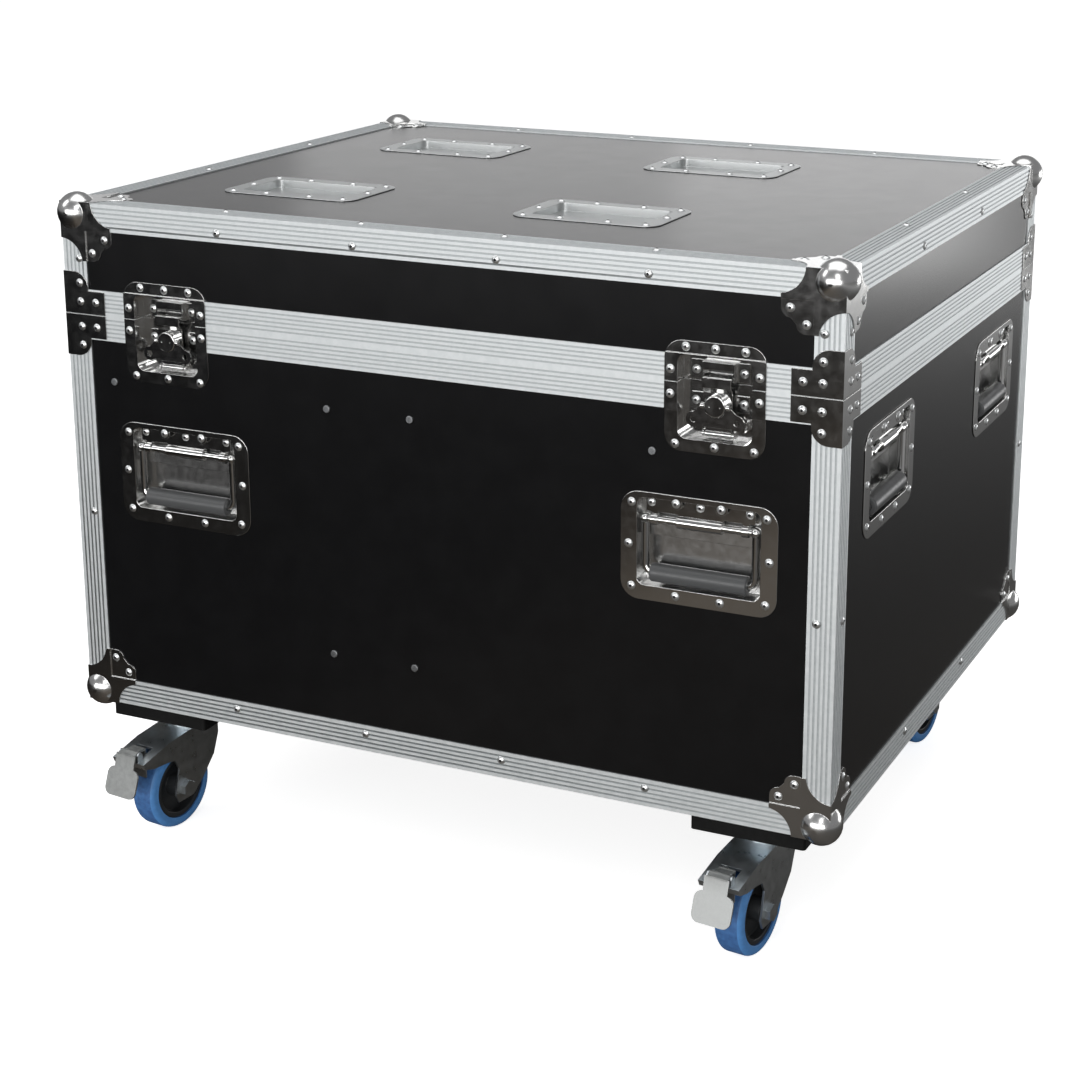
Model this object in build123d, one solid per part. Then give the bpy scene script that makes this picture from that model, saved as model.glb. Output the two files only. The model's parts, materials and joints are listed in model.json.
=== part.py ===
"""Lighting flight case on four castors, in millimetres.

+Z is up and +X runs along the front. The origin is on the floor, at the middle of the box that
holds the whole case as it stands. Every sub-part is written to parts/NODE.step.

Hardware is drawn in the frame of the face that it sits on: u runs to the right along the face,
w runs up it and d comes straight out of it, with d = 0 on the outer skin of the edge angles.
"""
import os
from math import cos, hypot, radians, sin

from build123d import *

# The case without its castors, over the skins of the edge angles
case_width = 900
case_depth = 735
base_height = 457
lid_height = 124

# Sheet stock
panel_thick = 9.5
angle_leg = 30
angle_thick = 1.5
plate_thick = 1.2
overrun = 40

# Ribs rolled along the angles and the rim profile
rib_count = 5
rib_groove_depth = 0.5
rib_groove_share = 0.42

# Tongue and groove rim
rim_height = 28
rim_web = 2.5
rim_leg_thick = 1.5
rim_leg_drop = 16
tongue_height = 4.5
tongue_root = 4
tongue_tip = 2.8
groove_slack = 0.8
lid_web = 7

# Dome head rivets
rivet_radius = 4.7
rivet_height = 2.1
rivet_dimple_radius = 1.3
rivet_dimple_depth = 1.1
rivet_line = 20
angle_rivet_pitch = 166
side_rivet_pitch = 226

# Ball corners
ball_radius = 22
ball_centre = 12.5
corner_scoop_radius = 28
corner_scoop_centre = 68
corner_scoop_out = 2.1
lobe_radius = 9.5
lobe_near = 39.5
lobe_far = 55

# Braces over the joint at each upright
brace_arm = 52
brace_arm_drop = 26.5
brace_foot_width = 31
brace_foot_drop = 47.5
brace_foot_round = 18
brace_gap = 0.4
brace_rivet_near = 20
brace_rivet_far = 40
brace_rivet_drop = 14
brace_rivet_low = 35

# Butterfly latches
latch_inset = 130
latch_width = 106
latch_top = 42
latch_bottom = 70
latch_corner = 18
recess_width = 78
recess_top = 28
recess_bottom = 57
recess_corner = 9
latch_pan_depth = 16
latch_split = 0.4
opening_gap = 0.3

pivot_radius = 1.5
pivot_drop = 52
pivot_depth = 12
knuckle_radius = 3.2
running_clearance = 0.05
carrier_width = 27
carrier_thick = 1.5
carrier_depth = 12
carrier_top = 8
ear_thick = 2
ear_gap = 0.4
base_plate_width = 60
base_plate_top = 12
base_plate_low = 29
base_plate_bottom = 56
base_plate_foot = 36
base_plate_thick = 1.5
window_top = 14.8
window_half = 14.4

hook_width = 30
hook_thick = 2
hook_low_depth = 10.2
hook_high_depth = 5
hook_bottom = 45
hook_bend_low = 9.8
hook_bend_high = 4
hook_nose_height = 2
hook_nose_base = 3.9
hook_nose_depth = 7.7
hook_lift = 6
eye_side = 29
eye_drop = 41
eye_thick = 2
eye_width = 9
eye_depth = 4.5
eye_hole = 2.4
slot_slack = 0.3

keeper_width = 34
keeper_ear = 14
keeper_base = 1.5
keeper_box_top = 21
keeper_front_depth = 8
keeper_thick = 1.5
keeper_slot_base = 3.5
keeper_slot_top = 13

hub_radius = 11
hub_drop = 21.5
hub_front = 0.6
hub_edge = 1.2
hub_dot_radius = 0.9
hub_dot_depth = 0.6
head_gap = 0.25
wing_bridge = 4
spindle_radius = 4
spindle_head_radius = 6
spindle_head_thick = 1
wing_depth = 2.6
wing_thick = 1.5
wing_lobe_radius = 7.8
wing_lobe_side = 22.8
wing_lobe_drop = 14.8
wing_top_half = 15
wing_hole_radius = 3.2
wing_pin_radius = 1.5
wing_pin_reach = 15
wing_ear_radius = 3
wing_notch_slack = 0.6

# Recessed handles with a sprung bail
handle_width = 168
handle_height = 114
handle_corner = 20
handle_opening_width = 132
handle_opening_height = 92
handle_opening_lift = 5
handle_opening_corner = 8
handle_pan_depth = 20
handle_shelf_depth = 12
handle_shelf_w = 9
front_handle_inset = 145.5
front_handle_drop = 174
side_handle_inset = 162.5
side_handle_drop = 110
rod_radius = 4
rod_axis_w = 28
rod_axis_depth = 5
bail_half = 59
bail_drop = 28
bail_bend = 9
bail_knob_radius = 5.6
grip_radius = 9.7
grip_length = 104
grip_round = 2
sleeve_radius = 6.6
sleeve_bore = 5.9
sleeve_half = 24
spring_wire = 1.2
end_knuckle_length = 7
end_knuckle_radius = 6
hinge_plate_half = 58
hinge_plate_thick = 1.5
hinge_plate_depth = 4
hinge_plate_rivet_w = 46
hinge_plate_rivet_u = 52.5
hinge_plate_low = 36
knuckle_inner = 45
sleeve_lip = 1.5
scallop_radius = 6.6
handle_rivets_top_u = 24
handle_rivets_top_w = 48.6
handle_rivet_shares = ((0.857, 0.789), (0.857, -0.765), (0.286, 0.853), (0.895, 0.018), (0.286, -0.851))

# Wheel dishes in the lid
dish_width = 170
dish_depth = 115
dish_corner = 19
dish_recess_width = 132
dish_recess_depth = 78
dish_recess_corner = 6
dish_recess_drop = 8
dish_column_shares = (-0.2767, 0.1267)
dish_row_shares = (0.257, 0.7306)
dish_rivet_inset = 10
dish_rivet_tuck = 4
dish_rivet_share = 0.37

latch_rivet_side = 46.5
latch_rivet_drop = 12.5
latch_rivet_wide = 41.5
latch_rivet_low = 63
lid_latch_rivet_wide = 31
lid_latch_rivet_high = 36
plate_rivet_side = 25.2
plate_rivet_drop = 20
keeper_rivet_side = 25
keeper_rivet_up = 11
hinge_rivet_side = 30
hinge_rivet_up = 15

# Upright boards inside, held by screws through the front and back
partition_thick = 9
partition_shares = (0.0644, 0.3667, 0.4778, 0.7822)
partition_drop = 46
partition_screw_drop = 74
partition_screw_low = 107
screw_radius = 4.2
screw_head_height = 1.6
screw_shank_radius = 2
screw_shank_length = 32
screw_slot_width = 1.2
board_gap = 2.5

# Hinges on the back
hinge_inset = 150
hinge_width = 84
hinge_leaf_height = 27
hinge_leaf_thick = 2
hinge_axis_out = 7.5
hinge_knuckle_radius = 5
hinge_pin_radius = 2.5
hinge_knuckles = 5
hinge_gap = 0.4
hinge_web_near = 2
hinge_web_far = 7

# Castor boards and castors
board_width = 125
board_depth = 125
board_thick = 18
board_inset_x = 27
board_inset_y = 6
board_round = 4
castor_height = 136
castor_turn = -7
castor_trail = 40
castor_plate_width = 105
castor_plate_depth = 85
castor_plate_thick = 4
castor_plate_corner = 8
castor_hole_x = 80
castor_hole_y = 60
castor_bolt_radius = 4
castor_bolt_head = 6.5
castor_bolt_head_height = 5
tee_nut_radius = 10
tee_nut_thick = 1.5
tee_nut_barrel = 5.2
tee_nut_length = 8
race_radius = 32
race_thick = 5
race_gap = 0.3
fork_head_radius = 30
fork_top = 36
kingpin_radius = 6
kingpin_head_radius = 11
kingpin_head_thick = 3
kingpin_play = 0.5
fork_inside = 21
fork_sheet = 2.5
fork_shares = (
    (-0.38, 0), (0.64, 0), (1.32, 0.08), (2.16, 0.3), (2.1, 0.44), (1.8, 0.52), (1.38, 0.54), (1.12, 0.58),
    (1, 0.82), (1.14, 1.44), (1.06, 1.65), (0.56, 1.63), (0.16, 1.28), (-0.2, 0.88), (-0.38, 0.4),
)
wheel_radius = 50
wheel_width = 32
hub_rim_radius = 38
hub_rim_wall = 6
hub_web = 7
hub_boss_radius = 13
hub_boss_width = 38
hub_inset = 2
tyre_round = 7
axle_radius = 6
axle_head_flat = 8.5
axle_head_height = 6
slot_width = 23
slot_far = 29
slot_near = 13
lip_wall = 3
brake_pin_radius = 2.5
brake_pin_back = 5
brake_pin_rise = 7
brake_ear_radius = 4
brake_knuckle_radius = 4.4
pedal_width = 45
pedal_corner = 9
pedal_thick = 2
pedal_out = 12
pedal_drop = 13
pedal_lean = 11
pedal_fall = 31
pedal_neck_width = 28
tab_width = 24
tab_riser_width = 18
shoe_shares = ((-0.3, 0.64), (-0.3, -0.06), (0, -0.08))
tab_shares = ((0, -0.088), (0.16, -0.04), (0.17, 0))
neck_shares = ((0.16, -0.04), (0.24, 0.26), (0.31, 0.46))

os.makedirs("parts", exist_ok=True)

# Places that follow from the sizes above
case_bottom = castor_height + board_thick
joint_z = case_bottom + base_height
case_top = joint_z + lid_height
panel_skin = angle_thick
panel_back = angle_thick + panel_thick
board_centre_x = case_width / 2 - board_inset_x - board_width / 2
board_centre_in = board_inset_y + board_depth / 2
fork_outline = [(v * wheel_radius, fork_top + w * wheel_radius) for v, w in fork_shares]
lip_v, lip_w = fork_outline[3]
brake_pin_v = lip_v - brake_pin_back
brake_pin_w = lip_w - brake_pin_rise
turn = radians(castor_turn)
pedal_length = hypot(pedal_lean, pedal_fall)
pedal_slope = pedal_lean / pedal_length
pedal_corner_v = brake_pin_v + pedal_out + pedal_lean - pedal_corner * pedal_slope
front_reach = (
    pedal_corner_v * cos(turn) - (pedal_width / 2 - pedal_corner) * sin(turn)
    + pedal_corner * hypot(pedal_slope * cos(turn), sin(turn)) - board_centre_in
)
rear_reach = hinge_axis_out + hinge_knuckle_radius
case_front = -(front_reach + case_depth + rear_reach) / 2 + front_reach
case_back = case_front + case_depth
case_mid_y = (case_front + case_back) / 2
half_width = case_width / 2

# One frame for each face: origin at the skin's middle line and at the joint's height
FRONT = Plane(origin=(0, case_front, joint_z), x_dir=(1, 0, 0), z_dir=(0, -1, 0))
BACK = Plane(origin=(0, case_back, joint_z), x_dir=(-1, 0, 0), z_dir=(0, 1, 0))
RIGHT = Plane(origin=(half_width, case_mid_y, joint_z), x_dir=(0, 1, 0), z_dir=(1, 0, 0))
LEFT = Plane(origin=(-half_width, case_mid_y, joint_z), x_dir=(0, -1, 0), z_dir=(-1, 0, 0))
TOP = Plane(origin=(0, case_mid_y, case_top), x_dir=(1, 0, 0), z_dir=(0, 0, 1))
UNDER = Plane(origin=(0, case_mid_y, case_bottom), x_dir=(1, 0, 0), z_dir=(0, 0, -1))


def span_box(low, high):
    """A box between two corners."""
    size = [b - a for a, b in zip(low, high)]
    middle = [(a + b) / 2 for a, b in zip(low, high)]
    return Pos(*middle) * Box(*size)


def on(face, u, w, solids):
    """Solids drawn about (0, 0, 0) moved to (u, w) on a face."""
    return [face.location * Pos(u, w, 0) * solid for solid in solids]


def slab(outline, low, high):
    """An outline in a face's frame, thickened from one depth to another."""
    return Pos(0, 0, low) * extrude(outline, high - low)


def rounded(width, height, corner, u=0, w=0):
    return Pos(u, w) * RectangleRounded(width, height, corner)


def save(node, solids):
    """Write one sub-part, made of separate solids."""
    pieces = []
    for piece in solids:
        pieces.extend(piece.solids())
    shape = pieces[0] if len(pieces) == 1 else Compound(children=pieces)
    export_step(shape, f"parts/{node}.step")


# Rivets and screws

def rivet_head():
    """A dome head with the small dimple of a blind rivet, standing on d = 0."""
    sphere_radius = (rivet_radius**2 + rivet_height**2) / (2 * rivet_height)
    dome = Pos(0, 0, rivet_height - sphere_radius) * Sphere(sphere_radius)
    dome &= Pos(0, 0, sphere_radius) * Box(*(2 * sphere_radius,) * 3)
    return dome - Pos(0, 0, rivet_height) * Cylinder(rivet_dimple_radius, 2 * rivet_dimple_depth)


def rivets(face, places, depth=0):
    head = Pos(0, 0, depth) * rivet_head()
    return [on(face, u, w, [head])[0] for u, w in places]


def mirrored(places):
    """The places given for u > 0, with their mirror images."""
    return [(sign * u, w) for u, w in places for sign in (1, -1)]


def partition_screw():
    """A pan head screw with a cross slot, its shank running in from the skin of the panel."""
    head = Pos(0, 0, screw_head_height / 2) * Cylinder(screw_radius, screw_head_height)
    head = fillet(head.edges().group_by(Axis.Z)[-1], screw_head_height / 2)
    slot = Box(screw_radius, screw_slot_width, screw_head_height)
    for angle in (0, 90):
        head -= Pos(0, 0, screw_head_height) * Rot(0, 0, angle) * slot
    shank = Pos(0, 0, -screw_shank_length / 2) * Cylinder(screw_shank_radius, screw_shank_length)
    return Pos(0, 0, -panel_skin) * (head + shank)


# Edge angles and rim profiles

def groove_rows(width):
    """The middles of the grooves rolled into a strip of the given width."""
    pitch = width / (rib_count + 1)
    return [pitch * (row + 1) for row in range(rib_count)], pitch * rib_groove_share


def angle_bar(length):
    """A ribbed corner angle along Z, its outer edge at the origin and its legs along +X and +Y."""
    outline = Rectangle(angle_leg, angle_leg, align=Align.MIN)
    outline -= Pos(angle_thick, angle_thick) * Rectangle(angle_leg, angle_leg, align=Align.MIN)
    rows, width = groove_rows(angle_leg)
    for row in rows:
        outline -= Pos(row, 0) * Rectangle(width, 2 * rib_groove_depth)
        outline -= Pos(0, row) * Rectangle(2 * rib_groove_depth, width)
    return extrude(outline, length)


def mitre(bar):
    """Cut the bar's lower end so that three bars share a corner of the case."""
    wedge = Polyline((0, 0), (overrun, overrun), (overrun, -overrun), (0, -overrun), close=True)
    along_x = Pos(0, overrun, 0) * Rot(90, 0, 0) * extrude(make_face(wedge), 2 * overrun)
    along_y = mirror(along_x, Plane(origin=(0, 0, 0), z_dir=(1, -1, 0)))
    return bar - along_x - along_y


def corner_frame(right, back, top):
    """The frame at one corner of the case: X, Y and Z run inward along its three edges."""
    x = half_width if right else -half_width
    y = case_back if back else case_front
    z = case_top if top else case_bottom
    return (x, y, z), (-1 if right else 1, -1 if back else 1, -1 if top else 1)


def at_corner(shape, right, back, top):
    """A shape drawn at the corner x, y, z >= 0, turned or mirrored to a corner of the case."""
    place, signs = corner_frame(right, back, top)
    for sign, normal in zip(signs, ((1, 0, 0), (0, 1, 0), (0, 0, 1))):
        if sign < 0:
            shape = mirror(shape, Plane(origin=(0, 0, 0), z_dir=normal))
    return Pos(*place) * shape


def upright(height):
    return mitre(angle_bar(height))


def rail(length, along_y):
    """A horizontal angle with both ends mitred, from one corner of the case to the next."""
    half = mitre(angle_bar(length / 2))
    turned = Rot(0, 90, 0) * mirror(half, Plane(origin=(0, 0, 0), z_dir=(1, 0, 0)))
    if along_y:
        turned = mirror(turned, Plane(origin=(0, 0, 0), z_dir=(1, -1, 0)))
    return turned


def edge_angles(top):
    bars = []
    height = (lid_height if top else base_height) - rim_height
    for right in (False, True):
        for back in (False, True):
            bars.append(at_corner(upright(height), right, back, top))
    for back in (False, True):
        halves = [at_corner(rail(case_width, False), right, back, top) for right in (False, True)]
        bars.append(halves[0] + halves[1])
    for right in (False, True):
        halves = [at_corner(rail(case_depth, True), right, back, top) for back in (False, True)]
        bars.append(halves[0] + halves[1])
    return bars


def rim_section(lid):
    """The rim profile as (inward, height): it grips the panel's edge and carries tongue or groove."""
    inner = panel_back + rim_leg_thick
    web = lid_web if lid else rim_web
    section = Rectangle(angle_thick, rim_height, align=Align.MIN)
    section += Rectangle(inner, web, align=Align.MIN)
    section += Pos(panel_back, 0) * Rectangle(rim_leg_thick, rim_leg_drop, align=Align.MIN)
    rows, width = groove_rows(rim_height)
    for row in rows:
        section -= Pos(0, row) * Rectangle(2 * rib_groove_depth, width)
    middle = (panel_skin + panel_back) / 2
    if lid:
        groove = Rectangle(tongue_root + 2 * groove_slack, 2 * (tongue_height + groove_slack))
        return section - Pos(middle, 0) * groove
    half_root = tongue_root / 2
    half_tip = tongue_tip / 2
    points = [(-half_root, 0), (-half_tip, -tongue_height), (half_tip, -tongue_height), (half_root, 0)]
    return section + Pos(middle, 0) * make_face(Polyline(*points, close=True))


def rim_frame(lid):
    """Four lengths of rim profile, mitred where they meet."""
    sides = []
    for face, length in ((FRONT, case_width), (RIGHT, case_depth), (BACK, case_width), (LEFT, case_depth)):
        section = rim_section(lid)
        bar = Pos(0, 0, -length / 2) * extrude(section, length)
        half = length / 2
        for end in (-1, 1):
            cut = make_face(Polyline((0, end * half), (overrun, end * (half - overrun)),
                                     (overrun, end * (half + overrun)), (-overrun, end * (half + overrun)),
                                     close=True))
            bar -= Rot(90, 0, 0) * Pos(0, 0, -overrun) * extrude(cut, 2 * overrun)
        bar = Rot(0, 90, 0) * bar
        if not lid:
            bar = mirror(bar, Plane(origin=(0, 0, 0), z_dir=(0, 1, 0)))
        sides.append(face.location * bar)
    return sides


# Panels

def wall(face, half, low, high):
    outline = Pos(0, (low + high) / 2) * Rectangle(2 * half, high - low)
    return on(face, 0, 0, [slab(outline, -panel_back, -panel_skin)])[0]


def openings(face, places, outline):
    """Holes through the panel of a face, one at each place."""
    hole = slab(outline, -2 * panel_back, panel_skin)
    return [on(face, u, w, [hole])[0] for u, w in places]


def dish_outline(width, height, corner, u=0, w=0):
    """The hole that a pressed dish needs in its panel."""
    more = 2 * (plate_thick + opening_gap)
    return rounded(width + more, height + more, corner + more / 2, u, w)


front_handle_u = half_width - front_handle_inset
side_handle_u = case_depth / 2 - side_handle_inset
handle_places = {
    "front_left": (FRONT, -front_handle_u, -front_handle_drop),
    "front_right": (FRONT, front_handle_u, -front_handle_drop),
    "right_front": (RIGHT, -side_handle_u, -side_handle_drop),
    "right_back": (RIGHT, side_handle_u, -side_handle_drop),
    "back_left": (BACK, front_handle_u, -front_handle_drop),
    "back_right": (BACK, -front_handle_u, -front_handle_drop),
    "left_front": (LEFT, side_handle_u, -side_handle_drop),
    "left_back": (LEFT, -side_handle_u, -side_handle_drop),
}
latch_places = {"left": latch_inset - half_width, "right": half_width - latch_inset}
partition_places = [case_width * share - half_width for share in partition_shares]
screw_places = [(u, -partition_screw_drop) for u in partition_places]
screw_places += [(u, partition_screw_low - base_height) for u in partition_places[1:3]]
recess_middle = (recess_top - recess_bottom) / 2
recess_height = recess_top + recess_bottom

handle_hole = dish_outline(
    handle_opening_width, handle_opening_height, handle_opening_corner, 0, handle_opening_lift
)
latch_hole = dish_outline(recess_width, recess_height, recess_corner, 0, recess_middle)
dish_hole = dish_outline(dish_recess_width, dish_recess_depth, dish_recess_corner)
screw_hole = Circle(screw_shank_radius + running_clearance)
latch_cuts = openings(FRONT, [(u, 0) for u in latch_places.values()], latch_hole)


def mirrored_screws(face):
    sign = 1 if face is FRONT else -1
    return [(sign * u, w) for u, w in screw_places]


walls = {
    "front_panel": (FRONT, half_width - panel_skin),
    "back_panel": (BACK, half_width - panel_skin),
    "right_panel": (RIGHT, case_depth / 2 - panel_back),
    "left_panel": (LEFT, case_depth / 2 - panel_back),
}
for node, (face, half) in walls.items():
    panel = wall(face, half, panel_back - base_height, -rim_web)
    cuts = openings(face, [(u, w) for f, u, w in handle_places.values() if f is face], handle_hole)
    if face in (FRONT, BACK):
        cuts += openings(face, mirrored_screws(face), screw_hole)
    if face is FRONT:
        cuts += latch_cuts
    save(node, [panel - cuts])

save("lid_side_panels", [
    wall(face, half, lid_web, lid_height - panel_back) - (latch_cuts if face is FRONT else [])
    for face, half in walls.values()
])
bottom = slab(Rectangle(case_width - 2 * panel_skin, case_depth - 2 * panel_skin), -panel_back, -panel_skin)
save("bottom_panel", on(UNDER, 0, 0, [bottom]))
dish_places = [
    (case_width * column, case_depth * (row - 1 / 2))
    for column in dish_column_shares for row in dish_row_shares]
save("lid_top_panel", [on(TOP, 0, 0, [bottom])[0] - openings(TOP, dish_places, dish_hole)])

save("base_closure_frame", [bar - latch_cuts for bar in rim_frame(False)])
save("lid_closure_frame", [bar - latch_cuts for bar in rim_frame(True)])
save("base_edge_angles", edge_angles(False))
save("lid_edge_angles", edge_angles(True))


# Plates that lie partly on an edge strip and partly on the panel behind it

def stepped(outline, strip, beyond):
    """Sheet over a strip at d = 0 and over the panel elsewhere, with a step wall along the strip."""
    raised = slab(outline & beyond, 0, plate_thick)
    lowered = slab(outline - strip, -panel_skin, plate_thick - panel_skin)
    step = slab(outline & (beyond - strip), -panel_skin, plate_thick)
    return raised + lowered + step


def pressed_dish(width, height, corner, depth, u=0, w=0):
    """The pan behind an opening: walls and floor in plate."""
    outer = rounded(width + 2 * plate_thick, height + 2 * plate_thick, corner + plate_thick, u, w)
    pan = slab(outer, -depth - plate_thick, 0)
    return pan - slab(rounded(width, height, corner, u, w), -depth, plate_thick)


# Ball corners

def corner_flange():
    """One flange of a ball corner, in the plane of its face with the case's corner at the origin."""
    far = lobe_far + lobe_radius
    outline = make_face(Polyline(
        (-plate_thick, -plate_thick), (far, -plate_thick), (far, lobe_near), (lobe_near, far),
        (-plate_thick, far), close=True))
    for place in ((lobe_far, lobe_near), (lobe_near, lobe_far)):
        outline += Pos(*place) * Circle(lobe_radius)
    for place in ((corner_scoop_centre, -corner_scoop_out), (-corner_scoop_out, corner_scoop_centre)):
        outline -= Pos(*place) * Circle(corner_scoop_radius)
    return outline


def inside_lines(step):
    """The quarter of a face that lies beyond both edge angles, from a distance off their legs."""
    return Pos(angle_leg + step, angle_leg + step) * Rectangle(overrun, overrun, align=Align.MIN)


flange_outline = corner_flange()
strip = flange_outline - inside_lines(0)
beyond = flange_outline - inside_lines(plate_thick)
flange = mirror(stepped(flange_outline, strip, beyond), Plane.XY)
corner = Pos(*(ball_centre,) * 3) * Sphere(ball_radius)
corner -= Box(*(overrun,) * 3, align=(Align.MIN,) * 3)
for angle in (0, 120, 240):
    corner += flange.rotate(Axis((0, 0, 0), (1, 1, 1)), angle)
corner_rivet_places = ((lobe_far, lobe_near - plate_thick), (lobe_near, lobe_far))
ends = [(right, back) for right in (False, True) for back in (False, True)]
save("base_ball_corners", [at_corner(corner, right, back, False) for right, back in ends])
save("lid_ball_corners", [at_corner(corner, right, back, True) for right, back in ends])


# Braces

def brace():
    """One brace, at the corner of the joint: X and Y inward, Z away from the joint."""
    arm = Pos(-plate_thick, brace_gap / 2) * Rectangle(
        brace_arm + plate_thick, brace_arm_drop - brace_gap / 2, align=Align.MIN)
    foot = Pos(-plate_thick, brace_gap / 2) * Rectangle(
        brace_foot_width + plate_thick, brace_foot_drop - brace_gap / 2, align=Align.MIN)
    round_end = foot.vertices().sort_by(Axis.Y)[-2:].sort_by(Axis.X)[-1]
    outline = arm + fillet(round_end, brace_foot_round)
    leg = mirror(slab(outline, 0, plate_thick), Plane.XY)
    front = Rot(90, 0, 0) * mirror(leg, Plane.XY)
    return front + mirror(front, Plane(origin=(0, 0, 0), z_dir=(1, -1, 0)))


def at_joint(shape, right, back, up):
    place, signs = corner_frame(right, back, False)
    for sign, normal in zip((*signs[:2], 1 if up else -1), ((1, 0, 0), (0, 1, 0), (0, 0, 1))):
        if sign < 0:
            shape = mirror(shape, Plane(origin=(0, 0, 0), z_dir=normal))
    return Pos(*place[:2], joint_z) * shape


save("base_corner_braces", [at_joint(brace(), right, back, False) for right, back in ends])
save("lid_corner_braces", [at_joint(brace(), right, back, True) for right, back in ends])


# Wheel dishes

dish = slab(rounded(dish_width, dish_depth, dish_corner), 0, plate_thick)
dish -= slab(rounded(dish_recess_width, dish_recess_depth, dish_recess_corner), 0, plate_thick)
dish += pressed_dish(dish_recess_width, dish_recess_depth, dish_recess_corner, dish_recess_drop)
save("wheel_dishes", [on(TOP, u, w, [Pos(0, 0, -panel_skin) * dish])[0] for u, w in dish_places])


# Handles

def along_u(radius, low, high, w, d):
    """A round bar along u."""
    return Pos((low + high) / 2, w, d) * Rot(0, 90, 0) * Cylinder(radius, high - low)


shelf_zone = Pos(0, handle_shelf_w) * Rectangle(handle_width, handle_height, align=(Align.CENTER, Align.MIN))
opening = rounded(handle_opening_width, handle_opening_height, handle_opening_corner, 0, handle_opening_lift)
scallops = Sketch() + [
    Pos(u, w) * Circle(scallop_radius) for u, w in mirrored([(handle_rivets_top_u, handle_rivets_top_w)])]
plate = slab(rounded(handle_width, handle_height, handle_corner) - (opening - scallops), 0, plate_thick)
pan_wall = rounded(
    handle_opening_width + 2 * plate_thick, handle_opening_height + 2 * plate_thick,
    handle_opening_corner + plate_thick, 0, handle_opening_lift)
deep_zone = Pos(0, handle_shelf_w + plate_thick) * Rectangle(
    handle_width, handle_height, align=(Align.CENTER, Align.MAX))
pan = slab(pan_wall, -handle_shelf_depth - plate_thick, 0)
pan += slab(pan_wall & deep_zone, -handle_pan_depth - plate_thick, 0)
pan -= slab(opening, -handle_shelf_depth, 0)
pan -= slab(opening - shelf_zone, -handle_pan_depth, 0)
handle_dish = plate + pan

bar_cut = along_u(rod_radius + running_clearance, -handle_width, handle_width, rod_axis_w, -rod_axis_depth)
plate_low = -hinge_plate_depth - hinge_plate_thick
hinge_top = handle_opening_lift + handle_opening_height / 2 - opening_gap
hinge_plate = slab(Pos(0, hinge_top) * Rectangle(
    2 * hinge_plate_half, hinge_top - hinge_plate_low, align=(Align.CENTER, Align.MAX)),
    plate_low, -hinge_plate_depth)
hinge_plate += slab(Pos(0, hinge_top) * Rectangle(
    2 * hinge_plate_half, hinge_plate_thick, align=(Align.CENTER, Align.MAX)),
    -handle_shelf_depth, -hinge_plate_depth)
knuckle_ends = [(-sleeve_half, sleeve_half, sleeve_radius)]
for side in (-1, 1):
    inner = side * knuckle_inner
    outer = side * (knuckle_inner + end_knuckle_length)
    knuckle_ends.append((min(inner, outer), max(inner, outer), end_knuckle_radius))
for low, high, radius in knuckle_ends:
    hinge_plate += along_u(radius, low, high, rod_axis_w, -rod_axis_depth)
    hinge_plate += slab(Pos((low + high) / 2, rod_axis_w) * Rectangle(
        high - low, hinge_plate_low + hinge_plate_thick - rod_axis_w, align=(Align.CENTER, Align.MIN)),
        plate_low, -hinge_plate_depth)
hinge_plate -= bar_cut
hinge_plate -= along_u(
    sleeve_bore, -sleeve_half + sleeve_lip, sleeve_half - sleeve_lip, rod_axis_w, -rod_axis_depth)
spring = along_u(
    sleeve_bore - running_clearance, -sleeve_half + 2 * sleeve_lip, sleeve_half - 2 * sleeve_lip,
    rod_axis_w, -rod_axis_depth)
spring -= along_u(sleeve_bore - spring_wire, -sleeve_half, sleeve_half, rod_axis_w, -rod_axis_depth)

path = FilletPolyline(
    (-bail_half, rod_axis_w, 0), (-bail_half, -bail_drop, 0), (bail_half, -bail_drop, 0),
    (bail_half, rod_axis_w, 0), radius=bail_bend)
loop = sweep(Plane(origin=path @ 0, z_dir=path % 0) * Circle(rod_radius), path)
loop = Pos(0, 0, -rod_axis_depth) * loop
loop += along_u(rod_radius, -bail_half, bail_half, rod_axis_w, -rod_axis_depth)
for side in (-1, 1):
    loop += Pos(side * bail_half, rod_axis_w, -rod_axis_depth) * Sphere(bail_knob_radius)
grip = along_u(grip_radius, -grip_length / 2, grip_length / 2, -bail_drop, -rod_axis_depth)
grip = fillet(grip.edges(), grip_round)
grip -= along_u(rod_radius + running_clearance, -grip_length, grip_length, -bail_drop, -rod_axis_depth)


def handle_parts(solid):
    return [on(face, u, w, [Pos(0, 0, -panel_skin) * solid])[0] for face, u, w in handle_places.values()]


save("handle_dishes", handle_parts(handle_dish))
save("handle_hinge_plates", handle_parts(hinge_plate))
save("handle_springs", handle_parts(spring))
for name, (face, u, w) in handle_places.items():
    save(f"handle_{name}_bail", on(face, u, w, [Pos(0, 0, -panel_skin) * solid for solid in (loop, grip)]))


# Latches

EDGE = Plane(origin=(0, 0, 0), x_dir=(0, 1, 0), z_dir=(1, 0, 0))


def bent(points, half):
    """A bent strip from its (w, d) outline, centred on u = 0."""
    return extrude(EDGE * make_face(Polyline(*points, close=True)), half, both=True)


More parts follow.
